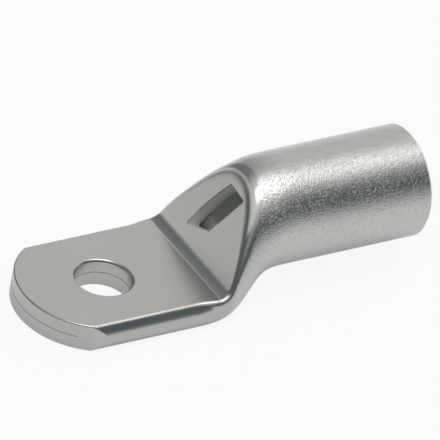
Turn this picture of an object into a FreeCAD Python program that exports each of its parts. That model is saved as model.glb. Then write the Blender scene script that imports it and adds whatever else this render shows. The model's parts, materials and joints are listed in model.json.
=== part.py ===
import FreeCAD, Part
import math
import os

# Tubular copper cable lug: one length of round tube whose front end is pressed flat into a palm.
# Origin: centre of the stud hole on the contact face of the palm.
# +X runs along the barrel, +Z points away from the contact face.

# Barrel
barrel_od = 16.5
wall = 2.25
barrel_end_x = 49.35
barrel_axis_z = 10.35
barrel_outer_edge = 0.4
barrel_inner_edge = 0.5

# Palm
palm_width = 22.2
palm_thickness = 4.3
fold_height = 10.0
tip_x = -13.2
tip_extra_radius = 0.55
palm_top_round = 0.8
palm_foot_round = 0.4
tip_edge_round = 0.25

# Stud hole
stud_hole_d = 8.4
hole_rollover = 0.4

# Press tool that forms palm and ramp
bend_x = 14.7
bend_radius = 1.9
ramp_angle = 65.0
crown_round = 3.0

# Shoulder between palm and barrel
shoulder_start_x = 11.5
shoulder_end_x = 28.5
palm_bar_end_x = 5.5
narrow_from = 0.15
narrow_over = 0.5
narrow_power = 1.15
rise_from = 0.1
rise_over = 0.7
rise_power = 1.5
crest_power = 3
belly_rate = 1.2
skin_lead_steps = 3
skin_steps = 8
skin_tail_steps = 2

# Bore for the conductor
bore_depth = 20.5
bore_step = 0.15

# Sight slot, punched askew through the ramp
slot_foot_along = 3.0
slot_foot_y = 4.6
slot_skew = 21.0
slot_width = 3.9
slot_far_side = 10.2
slot_near_start = 3.4
slot_near_end = 11.3
slot_corner = 0.3
slot_bow = 0.35

# Seam between the two pressed walls
seam_gap = 0.1
seam_depth = 0.14
seam_half_width = 9.0

barrel_r = barrel_od / 2
tip_radius = palm_width / 2 + tip_extra_radius
bore_r = barrel_r - wall
bore_floor_x = barrel_end_x - bore_depth
tip_centre_x = tip_x + tip_radius
round_weight = math.sqrt(0.5)
ramp_rad = math.radians(ramp_angle)
ramp_dir = FreeCAD.Vector(math.cos(ramp_rad), 0, math.sin(ramp_rad))
ramp_normal = FreeCAD.Vector(-math.sin(ramp_rad), 0, math.cos(ramp_rad))
along_x = FreeCAD.Vector(1, 0, 0)
tool_reach = 40.0


def mix(a, b, part):
    return a + (b - a) * part


def ease(part):
    part = min(max(part, 0.0), 1.0)
    return part * part * (3 - 2 * part)


def section(x, inset):
    """Half width, top, widest height and bottom of the tube's skin at one station."""
    run = min(max((x - shoulder_start_x) / (shoulder_end_x - shoulder_start_x), 0.0), 1.0)
    palm_mid = palm_thickness / 2
    narrowed = ease((run - narrow_from) / narrow_over) ** narrow_power
    risen = ease((run - rise_from) / rise_over) ** rise_power
    half = mix(palm_width / 2, barrel_r, narrowed) - inset
    mid = mix(palm_mid, barrel_axis_z, risen)
    top = mix(palm_mid + fold_height / 2, barrel_axis_z + barrel_r, 1 - (1 - run) ** crest_power) - inset
    bottom = mix(palm_mid - fold_height / 2, barrel_axis_z - barrel_r, ease(run * belly_rate)) + inset
    return half, top, mid, bottom


def loop(x, inset):
    """Poles and weights of the closed oval loop at one station, from the bottom centre round."""
    half, top, mid, bottom = section(x, inset)
    corners = [(0, bottom), (half, bottom), (half, mid), (half, top), (0, top),
               (-half, top), (-half, mid), (-half, bottom), (0, bottom)]
    poles = [FreeCAD.Vector(x, y, z) for y, z in corners]
    weights = [1, round_weight, 1, round_weight, 1, round_weight, 1, round_weight, 1]
    return poles, weights


def skin(inset, x_to):
    """Closed skin of the shoulder: conic loops joined smoothly from palm to barrel."""
    stations = []
    for i in range(skin_lead_steps):
        stations.append(mix(palm_bar_end_x, shoulder_start_x, i / skin_lead_steps))
    for i in range(skin_steps + 1):
        stations.append(mix(shoulder_start_x, shoulder_end_x, i / skin_steps))
    for i in range(1, skin_tail_steps + 1):
        stations.append(mix(shoulder_end_x, x_to, i / skin_tail_steps))
    loops = [loop(x, inset) for x in stations]
    degree = 3
    inner_knots = len(stations) - degree - 1
    knots = list(range(inner_knots + 2))
    mults = [degree + 1] + [1] * inner_knots + [degree + 1]
    surface = Part.BSplineSurface()
    surface.buildFromPolesMultsKnots([poles for poles, weights in loops], mults, [3, 2, 2, 2, 3],
                                     knots, [0, 1, 2, 3, 4], False, False, degree, 2,
                                     [weights for poles, weights in loops])
    side = surface.toShape()
    caps = []
    for x in (stations[0], stations[-1]):
        rim = [e for e in side.Edges if e.BoundBox.XLength < 1e-4 and abs(e.BoundBox.XMin - x) < 1e-4]
        caps.append(Part.Face(Part.Wire(rim)))
    shell = Part.Shell([side] + caps)
    shell.sewShape()
    solid = Part.Solid(shell)
    if solid.Volume < 0:
        solid.reverse()
    return solid


def palm_bar():
    """Straight bar in front of the shoulder, with the folded tube walls as its two sides."""
    poles, weights = loop(palm_bar_end_x, 0)
    curve = Part.BSplineCurve()
    curve.buildFromPolesMultsKnots(poles, [3, 2, 2, 2, 3], [0, 1, 2, 3, 4], False, 2, weights)
    face = Part.Face(Part.Wire(curve.toShape()))
    return face.extrude(FreeCAD.Vector(tip_x - 1 - palm_bar_end_x, 0, 0))


def tool_profile(inset):
    """Outline in the XZ plane of the space the press tool takes above palm and ramp."""
    palm_z = palm_thickness - inset
    foot = FreeCAD.Vector(bend_x, 0, palm_thickness) - ramp_normal * inset
    foot = foot + ramp_dir * ((palm_z - foot.z) / ramp_dir.z)
    radius = bend_radius + inset
    setback = radius * math.tan(ramp_rad / 2)
    bend_a = FreeCAD.Vector(foot.x - setback, 0, palm_z)
    bend_b = foot + ramp_dir * setback
    bend_centre = FreeCAD.Vector(bend_a.x, 0, palm_z + radius)
    half = ramp_rad / 2
    bend_mid = bend_centre + FreeCAD.Vector(math.sin(half), 0, -math.cos(half)) * radius
    tool_top = bend_b + ramp_dir * tool_reach
    start = FreeCAD.Vector(tip_x - tool_reach, 0, palm_z)
    high = FreeCAD.Vector(start.x, 0, tool_top.z)
    edges = [
        Part.makeLine(start, bend_a),
        Part.Arc(bend_a, bend_mid, bend_b).toShape(),
        Part.makeLine(bend_b, tool_top),
        Part.makeLine(tool_top, high),
        Part.makeLine(high, start),
    ]
    return Part.Wire(edges)


def pressed(body, inset):
    """Tube form after the press: flat palm, ramp and flat contact face."""
    face = Part.Face(tool_profile(inset))
    face.translate(FreeCAD.Vector(0, tool_reach, 0))
    body = body.cut(face.extrude(FreeCAD.Vector(0, -2 * tool_reach, 0)))
    anvil = Part.makeBox(4 * tool_reach, 2 * tool_reach, tool_reach,
                         FreeCAD.Vector(tip_x - tool_reach, -tool_reach, inset - tool_reach))
    return body.cut(anvil)


def rounded(shape, edges, radius, name):
    """Round the named edges and stop if the result is not a sound solid."""
    result = shape.makeFillet(radius, edges)
    if not result.isValid():
        raise ValueError("edge round failed: " + name)
    return result


def near(value, target, slack=0.02):
    return abs(value - target) < slack


def on_plane(edge, axis, value):
    box = edge.BoundBox
    if axis == "x":
        return near(box.XMin, value) and near(box.XMax, value)
    return near(box.ZMin, value) and near(box.ZMax, value)


def on_tip_face(edge):
    """True for an edge that lies on the sheared round face of the tip."""
    for point in (edge.valueAt(edge.FirstParameter), edge.valueAt(edge.LastParameter)):
        reach = math.hypot(point.x - tip_centre_x, point.y)
        if point.x > tip_centre_x or not near(reach, tip_radius):
            return False
    return True


def press_edges(body):
    """Edges that the press leaves along the palm top, the bend and the ramp."""
    chosen = []
    for edge in body.Edges:
        box = edge.BoundBox
        on_mid_plane = near(box.YMin, 0) and near(box.YMax, 0)
        if on_mid_plane or box.XLength < 0.02 or box.ZMin < palm_thickness - 0.02:
            continue
        climbs = box.XMin > bend_x - 2 * bend_radius and box.XMax < bend_x + palm_width / 2
        if climbs or on_plane(edge, "z", palm_thickness):
            chosen.append(edge)
    return chosen


def press_rounded(body):
    """Press edges rounded; the rounding widens up the ramp and is widest at its crown."""
    halves = []
    for side in (0, -tool_reach):
        keep = Part.makeBox(2 * tool_reach, tool_reach, 2 * tool_reach,
                            FreeCAD.Vector(-tool_reach, side, -tool_reach))
        halves.append(body.common(keep))
    body = halves[0].fuse(halves[1]).Solids[0]
    edges = press_edges(body)
    rounds = []
    for number, edge in enumerate(body.Edges, 1):
        if not any(edge.isSame(chosen) for chosen in edges):
            continue
        radii = []
        for parameter in (edge.FirstParameter, edge.LastParameter):
            at_crown = near(edge.valueAt(parameter).y, 0)
            radii.append(crown_round if at_crown else palm_top_round)
        rounds.append((number, radii[0], radii[1]))
    document = FreeCAD.newDocument("press")
    formed = document.addObject("Part::Feature", "formed")
    formed.Shape = body
    fillet = document.addObject("Part::Fillet", "press_rounds")
    fillet.Base = formed
    fillet.Edges = rounds
    document.recompute()
    result = fillet.Shape
    if result.isNull() or not result.isValid():
        raise ValueError("edge round failed: press edges")
    return result


def tip_rims(body):
    """Upper and lower rim of the sheared tip, with the ends that climb the palm's rounds."""
    upper = palm_thickness - palm_top_round
    return [e for e in body.Edges if on_tip_face(e)
            and (e.BoundBox.ZMin > upper or e.BoundBox.ZMax < palm_foot_round)]


def tip_shape(reach):
    """Outline kept at the tip: a disc that runs out into the straight palm sides."""
    disc = Part.makeCylinder(reach, 3 * palm_thickness,
                             FreeCAD.Vector(tip_centre_x, 0, -palm_thickness))
    rest = Part.makeBox(2 * tool_reach, 2 * tool_reach, 2 * tool_reach,
                        FreeCAD.Vector(tip_centre_x, -tool_reach, -tool_reach / 2))
    return disc.fuse(rest)


def on_ramp(along, y):
    return FreeCAD.Vector(bend_x, y, palm_thickness) + ramp_dir * along


def slot_tool():
    """Prism through the ramp wall, askew to the slope, with one long side slightly bowed."""
    skew = math.radians(slot_skew)
    run_along = math.cos(skew)
    run_y = -math.sin(skew)

    def corner(run, side):
        along = slot_foot_along + run * run_along + side * run_y
        return on_ramp(along, slot_foot_y + run * run_y - side * run_along)

    corners = [corner(0, 0), corner(slot_far_side, 0),
               corner(slot_near_end, slot_width), corner(slot_near_start, slot_width)]
    bow = corner(slot_far_side / 2, -slot_bow)
    outline = [Part.Arc(corners[0], bow, corners[1]).toShape()]
    for i in (1, 2, 3):
        outline.append(Part.makeLine(corners[i], corners[(i + 1) % 4]))
    face = Part.Face(Part.Wire(outline))
    face.translate(ramp_normal * wall)
    prism = face.extrude(ramp_normal * (-2.6 * wall))
    upright = [e for e in prism.Edges if e.Curve.TypeId == "Part::GeomLine"
               and e.Curve.Direction.cross(ramp_normal).Length < 0.01]
    return prism.makeFillet(slot_corner, upright)


def seam_tools():
    """Fine gap that shows where the two tube walls meet, at the sheared tip and in the hole."""
    low = palm_thickness / 2 - seam_gap / 2
    strip = Part.makeBox(tip_radius, 2 * seam_half_width, seam_gap,
                         FreeCAD.Vector(tip_x - 1, -seam_half_width, low))
    strip = strip.cut(tip_shape(tip_radius - seam_depth))
    ring = Part.makeCylinder(stud_hole_d / 2 + seam_depth, seam_gap, FreeCAD.Vector(0, 0, low))
    return strip, ring


def outer_form():
    """Outside of the lug, with every edge that the press, the saw and the shear leave."""
    round_from_x = shoulder_end_x + wall / 2
    body = pressed(palm_bar().fuse(skin(0, round_from_x)), 0)
    body = press_rounded(body)
    foot = [e for e in body.Edges if on_plane(e, "z", 0) and e.BoundBox.XLength > 1]
    body = rounded(body, foot, palm_foot_round, "contact face edge")
    barrel = Part.makeCylinder(barrel_r, barrel_end_x - round_from_x,
                               FreeCAD.Vector(round_from_x, 0, barrel_axis_z), along_x)
    body = body.fuse(barrel)
    rim = [e for e in body.Edges if on_plane(e, "x", barrel_end_x)]
    body = body.makeChamfer(barrel_outer_edge, rim)
    body = body.common(tip_shape(tip_radius))
    return rounded(body, tip_rims(body), tip_edge_round, "tip rims")


def open_bore(body):
    """Bore from the mouth to its stop, then the closing hollow behind the ramp."""
    inset = wall + bore_step
    body = body.cut(pressed(skin(inset, bore_floor_x + bore_step), inset))
    floor = FreeCAD.Vector(bore_floor_x, 0, barrel_axis_z)
    body = body.cut(Part.makeCylinder(bore_r, bore_depth + 1, floor, along_x))
    lead = FreeCAD.Vector(barrel_end_x - barrel_inner_edge, 0, barrel_axis_z)
    return body.cut(Part.makeCone(bore_r, bore_r + 2 * barrel_inner_edge, 2 * barrel_inner_edge,
                                  lead, along_x))


def punch_hole(body):
    """Stud hole with the rolled-in rim on the side the punch enters."""
    drill = Part.makeCylinder(stud_hole_d / 2, 3 * palm_thickness,
                              FreeCAD.Vector(0, 0, -palm_thickness))
    body = body.cut(drill)
    entry = [e for e in body.Edges if on_plane(e, "z", palm_thickness)
             and near(e.BoundBox.XLength, stud_hole_d)]
    return rounded(body, entry, hole_rollover, "hole entry")


def cable_lug():
    body = open_bore(outer_form())
    body = body.cut(slot_tool())
    body = punch_hole(body)
    for tool in seam_tools():
        body = body.cut(tool)
    return body


lug = cable_lug()
if not lug.isValid() or len(lug.Solids) != 1:
    raise ValueError("the lug is not one sound solid")
os.makedirs("parts", exist_ok=True)
lug.Solids[0].exportStep("parts/cable_lug.step")
print("cable_lug", round(lug.Volume, 1), "mm3", len(lug.Faces), "faces")
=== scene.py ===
import json
import math

import bpy
from mathutils import Matrix, Vector

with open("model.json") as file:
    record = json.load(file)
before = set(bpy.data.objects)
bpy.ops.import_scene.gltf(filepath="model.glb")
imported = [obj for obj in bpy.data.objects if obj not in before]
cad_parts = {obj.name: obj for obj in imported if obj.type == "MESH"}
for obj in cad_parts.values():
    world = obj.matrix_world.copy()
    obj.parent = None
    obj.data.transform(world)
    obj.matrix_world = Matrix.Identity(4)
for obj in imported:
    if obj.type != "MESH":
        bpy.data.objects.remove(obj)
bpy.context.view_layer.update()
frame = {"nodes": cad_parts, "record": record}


# The lug: one length of round copper tube, pressed flat in front, punched for the stud and the
# sight slot, and plated with bright tin. Pressed flats stay smooth, while the round barrel and
# shoulder keep the fine pits of the plated tube.
class Shade:
    """A socket in a node tree; sums, differences and products of shades add Math nodes."""

    def __init__(self, tree, socket=None):
        self.tree = tree
        self.socket = socket

    def node(self, kind, settings, inputs, output=0):
        """Any other node: its type, its settings, then the values or links of its sockets."""
        node = self.tree.nodes.new(kind)
        for name, setting in settings.items():
            setattr(node, name, setting)
        for name, value in inputs.items():
            socket = node.inputs[name]
            if isinstance(value, Shade):
                self.tree.links.new(value.socket, socket)
            else:
                socket.default_value = value
        return Shade(self.tree, node.outputs[output])

    def maths(self, operation, left, right):
        return self.node("ShaderNodeMath", {"operation": operation}, {0: left, 1: right})

    def __add__(self, other):
        return self.maths("ADD", self, other)

    __radd__ = __add__

    def __sub__(self, other):
        return self.maths("SUBTRACT", self, other)

    def __rsub__(self, other):
        return self.maths("SUBTRACT", other, self)

    def __mul__(self, other):
        return self.maths("MULTIPLY", self, other)

    __rmul__ = __mul__

    def larger(self, other):
        """The larger of two values."""
        return self.maths("MAXIMUM", self, other)

    def size(self):
        """The value without its sign."""
        return self.node("ShaderNodeMath", {"operation": "ABSOLUTE"}, {0: self})

    def step(self, start, end):
        """0 at start and 1 at end, smooth between, in whichever order the two lie."""
        return self.node("ShaderNodeMapRange", {"interpolation_type": "SMOOTHSTEP"},
                         {"Value": self, "From Min": start, "From Max": end})

    def blend(self, low, high):
        """Colour low where this shade is 0, colour high where it is 1."""
        return self.node("ShaderNodeMix", {"data_type": "RGBA"},
                         {"Factor": self, "A": low, "B": high}, output=2)

    def part(self, axis):
        """The part of a vector along X, Y or Z."""
        return self.node("ShaderNodeSeparateXYZ", {}, {"Vector": self}, output=axis)

    def length(self):
        """The length of a vector."""
        return self.node("ShaderNodeVectorMath", {"operation": "LENGTH"}, {0: self},
                         output="Value")


def noise(place, scale, detail=2.0, roughness=0.5):
    return place.node("ShaderNodeTexNoise", {},
                      {"Vector": place, "Scale": scale, "Detail": detail,
                       "Roughness": roughness})


mounts = {mount["name"]: mount for mount in frame["record"]["mounts"]}
millimetre = 0.001
stud_hole_r = mounts["stud_hole"]["dims"]["r_mm"] * millimetre
bore_r = mounts["barrel_bore"]["dims"]["r_mm"] * millimetre
barrel_axis_z = mounts["barrel_bore"]["pos_m"][2]
palm_top_z = mounts["palm_top"]["pos_m"][2]
tip_start_x = -0.0070
bend_x = 0.0147
ramp_angle = math.radians(65)
hollow_end_x = 0.0290

tin = bpy.data.materials.new("tin_plate")
tin.use_nodes = True
tree = tin.node_tree
surface = tree.nodes["Principled BSDF"]
place = Shade(tree).node("ShaderNodeTexCoord", {}, {}, output="Object")
facing = Shade(tree).node("ShaderNodeTexCoord", {}, {}, output="Normal")
x, y, z = place.part("X"), place.part("Y"), place.part("Z")
level = facing.part("Z").size()

# Ironed areas: the palm top, the contact face and the ramp, which the press left smooth.
ramp_foot = Vector((bend_x, 0.0, palm_top_z))
ramp_normal = Vector((-math.sin(ramp_angle), 0.0, math.cos(ramp_angle)))
palm_end_x = bend_x + 0.0001
ironed_depth = 0.0012
ironed_blur = 0.0004
above_ramp = x * ramp_normal.x + z * ramp_normal.z - ramp_foot.dot(ramp_normal)
on_ramp = above_ramp.step(-ironed_depth - ironed_blur, -ironed_depth + ironed_blur)
on_palm = x.step(palm_end_x + ironed_blur, palm_end_x - ironed_blur) * level.step(0.93, 0.985)
pitted = 1 - on_ramp.larger(on_palm)

# Sheared areas: the round tip and the wall of the stud hole, with fine upright streaks.
tip_blur = 0.0002
hole_edge_width = 0.0002
hole_blur = 0.0001
across = place.node("ShaderNodeCombineXYZ", {}, {"X": x, "Y": y})
hole_edge_r = stud_hole_r + hole_edge_width
at_hole = across.length().step(hole_edge_r, hole_edge_r - hole_blur)
at_tip = x.step(tip_start_x + tip_blur, tip_start_x - tip_blur)
sheared = at_tip.larger(at_hole) * level.step(0.5, 0.3)
streaks = noise(across, scale=2300, detail=3.0, roughness=0.6)

# Inside: the bore, the hollow that closes behind the ramp, and the walls of the sight slot.
inner_skin = 0.0013
inner_blur = 0.0004
slot_edge_width = 0.0001
slot_blur = 0.0003
hollow_blur = 0.0005
from_axis = place.node("ShaderNodeCombineXYZ", {}, {"Y": y, "Z": z - barrel_axis_z}).length()
inside = from_axis.step(bore_r + inner_skin, bore_r + inner_skin - inner_blur)
inside = inside * above_ramp.step(-slot_edge_width, -slot_edge_width - slot_blur)
hollow = inside * x.step(hollow_end_x + hollow_blur, hollow_end_x - hollow_blur)

# Colour: light warm grey tin with faint clouds, slightly darker and cooler in the pits and where
# it was sheared, darker on the ramp as painted shade, and pale in the hollow that shows through
# the sight slot.
dull_tin = (0.62, 0.62, 0.60, 1)
bright_tin = (0.68, 0.68, 0.66, 1)
sheared_tin = (0.52, 0.51, 0.50, 1)
ramp_painted_shade = (0.54, 0.54, 0.52, 1)
pit_tin = (0.34, 0.37, 0.38, 1)
hollow_tin = (0.86, 0.88, 0.83, 1)
clouds = noise(place, scale=160, detail=3.0)
pits = noise(place, scale=3000, roughness=0.6).step(0.42, 0.33) * pitted
colour = clouds.blend(dull_tin, bright_tin)
colour = (0.25 * sheared * streaks.step(0.40, 0.62)).blend(colour, sheared_tin)
# Painted shade: the ramp is drawn darker, standing in for the dimmer part of the room it
# mirrors.
colour = (0.6 * on_ramp).blend(colour, ramp_painted_shade)
colour = (0.2 * pits).blend(colour, pit_tin)
colour = hollow.blend(colour, hollow_tin)
tree.links.new(colour.socket, surface.inputs["Base Color"])

# Gloss: satin on the flats, sharper on the round parts, whose grain already spreads the light,
# and dull inside.
dullness = 0.24 + 0.04 * clouds - 0.12 * pitted + 0.33 * inside
tree.links.new(dullness.socket, surface.inputs["Roughness"])
bare_metal = 1 - 0.8 * hollow
tree.links.new(bare_metal.socket, surface.inputs["Metallic"])

# Relief: fine grain on the round parts, streaks where it is sheared, a faint waviness all over.
relief_height = 0.00008
grain = noise(place, scale=5200, roughness=0.6)
waves = noise(place, scale=500)
relief = 0.8 * grain * pitted - 0.25 * pits + 0.1 * streaks * sheared + 0.15 * waves
bump = relief.node("ShaderNodeBump", {},
                   {"Height": relief, "Distance": relief_height, "Strength": 1.0})
tree.links.new(bump.socket, surface.inputs["Normal"])

lug = frame["nodes"]["cable_lug"]
lug.data.materials.clear()
lug.data.materials.append(tin)


# The floor: a wide sheet of white paper that the lug lies on and that keeps its shadow. The
# camera sees the paper lit nearly white, while the tin mirrors it grey, with painted light
# behind the lug: a lighter glowing strip that only the tin's reflections see.
floor_width = 40
floor_gap = 0.00005
paper_white = 0.9
mirrored_grey = 0.31
mirrored_painted_light = 0.55

bpy.ops.object.select_all(action="DESELECT")
bpy.ops.mesh.primitive_plane_add(size=floor_width, location=(0, 0, -floor_gap))
floor = bpy.context.object
floor.name = "floor"
bpy.ops.object.transform_apply(location=True)

paper = bpy.data.materials.new("white_paper")
paper.use_nodes = True
tree = paper.node_tree
matt = tree.nodes["Principled BSDF"]
matt.inputs["Base Color"].default_value = (paper_white, paper_white, paper_white, 1)
matt.inputs["Roughness"].default_value = 0.9
matt.inputs["Specular IOR Level"].default_value = 0.0


def ray(kind):
    """1 for rays of this kind, as the Light Path node names them."""
    return Shade(tree).node("ShaderNodeLightPath", {}, {}, output=kind)


behind = Shade(tree).node("ShaderNodeTexCoord", {}, {}, output="Object").part("Y")
# Painted light: this band of floor behind the lug glows brighter, but only in the tin's
# reflections.
painted_light_strip = behind.step(0.008, 0.03) * behind.step(0.15, 0.05)
mirrored = ray("Is Glossy Ray") * (mirrored_grey + mirrored_painted_light * painted_light_strip)
seen = (ray("Is Camera Ray") * paper_white).larger(mirrored)
seen = seen.larger(ray("Is Transmission Ray") * paper_white)
glow = seen.node("ShaderNodeEmission", {}, {"Color": (1, 1, 1, 1), "Strength": 1.0})
lit = seen.node("ShaderNodeMixShader", {}, {0: seen, 1: Shade(tree, matt.outputs[0]), 2: glow})
tree.links.new(lit.socket, tree.nodes["Material Output"].inputs["Surface"])
floor.data.materials.append(paper)


# The room: pale walls, lighter on the far side, which light the lug and are mirrored in it. A
# darker gap runs round the left and near side at half height and gives the tin its dark bands.
wall_grey = (0.60, 0.60, 0.575, 1)
far_wall_grey = (0.70, 0.70, 0.67, 1)
gap_grey = (0.095, 0.122, 0.132, 1)

room = bpy.data.worlds.new("pale_room")
bpy.context.scene.world = room
room.use_nodes = True
tree = room.node_tree
backdrop = tree.nodes["Background"]
direction = Shade(tree).node("ShaderNodeTexCoord", {}, {}, output="Generated")


def towards(*axis):
    """1 towards the axis, -1 away from it."""
    return direction.node("ShaderNodeVectorMath", {"operation": "DOT_PRODUCT"},
                          {0: direction, 1: Vector(axis).normalized()}, output="Value")


height = towards(-0.1, -0.2, 1)
left_or_near = towards(-1, 0, 0).step(-0.36, -0.22).larger(towards(0, -1, 0).step(0.1, 0.3))
band = height.step(0.10, 0.24) * height.step(0.82, 0.72) * left_or_near
left_end = towards(-0.85, -0.42, 0.32).step(0.82, 0.92)
far_end = towards(-0.05, 0.95, 0.22).step(0.87, 0.93)
paler_far_away = 1 - 0.2 * towards(0, 1, 0).step(0.2, 0.6)
gap = band.larger(left_end).larger(far_end) * paler_far_away
far_side = towards(0.5, 0.7, 0.5).step(0.5, 0.95)
wall = gap.blend(far_side.blend(wall_grey, far_wall_grey), gap_grey)
tree.links.new(wall.socket, backdrop.inputs["Color"])
backdrop.inputs["Strength"].default_value = 1.0


# The soft box: one long lamp behind a white cloth, hung above the lug and turned a little from
# the barrel's direction. It gives the barrel its highlight and the lug its shadow.
box_length = 0.98
box_width = 0.34
box_power = 3.0
box_height = 1.0
box_place = Vector((0.04, -0.12, 1.0)).normalized()
box_run = Vector((1, 0.32, 0))

soft = bpy.data.lights.new("soft_box", "AREA")
soft.shape = "RECTANGLE"
soft.size = box_length
soft.size_y = box_width
soft.energy = box_power
soft_box = bpy.data.objects.new("soft_box", soft)
bpy.context.collection.objects.link(soft_box)
box_across = box_place.cross(box_run).normalized()
box_along = box_across.cross(box_place)
box_axes = Matrix((box_along, box_across, box_place)).transposed().to_4x4()
soft_box.matrix_world = Matrix.Translation(box_place * box_height) @ box_axes
soft_box.visible_camera = False


# The camera: far off with a long lens, as the photograph shows almost no perspective. Its
# direction was worked out from the stud hole's oval, the palm's edges and the bend.
right = Vector((0.8535, -0.4990, 0.1503))
upward = Vector((0.1866, 0.5619, 0.8059))
toward = Vector((-0.4866, -0.6598, 0.5726))
middle = Vector((0.01576, -0.00365, 0.01349))
distance = 2.4
view_width = 0.06287
film_width = 36

lens = bpy.data.cameras.new("camera")
lens.sensor_width = film_width
lens.lens = film_width * distance / view_width
lens.clip_end = 100
camera = bpy.data.objects.new("camera", lens)
bpy.context.collection.objects.link(camera)
turn = Matrix((right, upward, toward)).transposed().to_4x4()
camera.matrix_world = Matrix.Translation(middle + toward * distance) @ turn
bpy.context.scene.camera = camera
bpy.context.scene.view_settings.view_transform = "Standard"
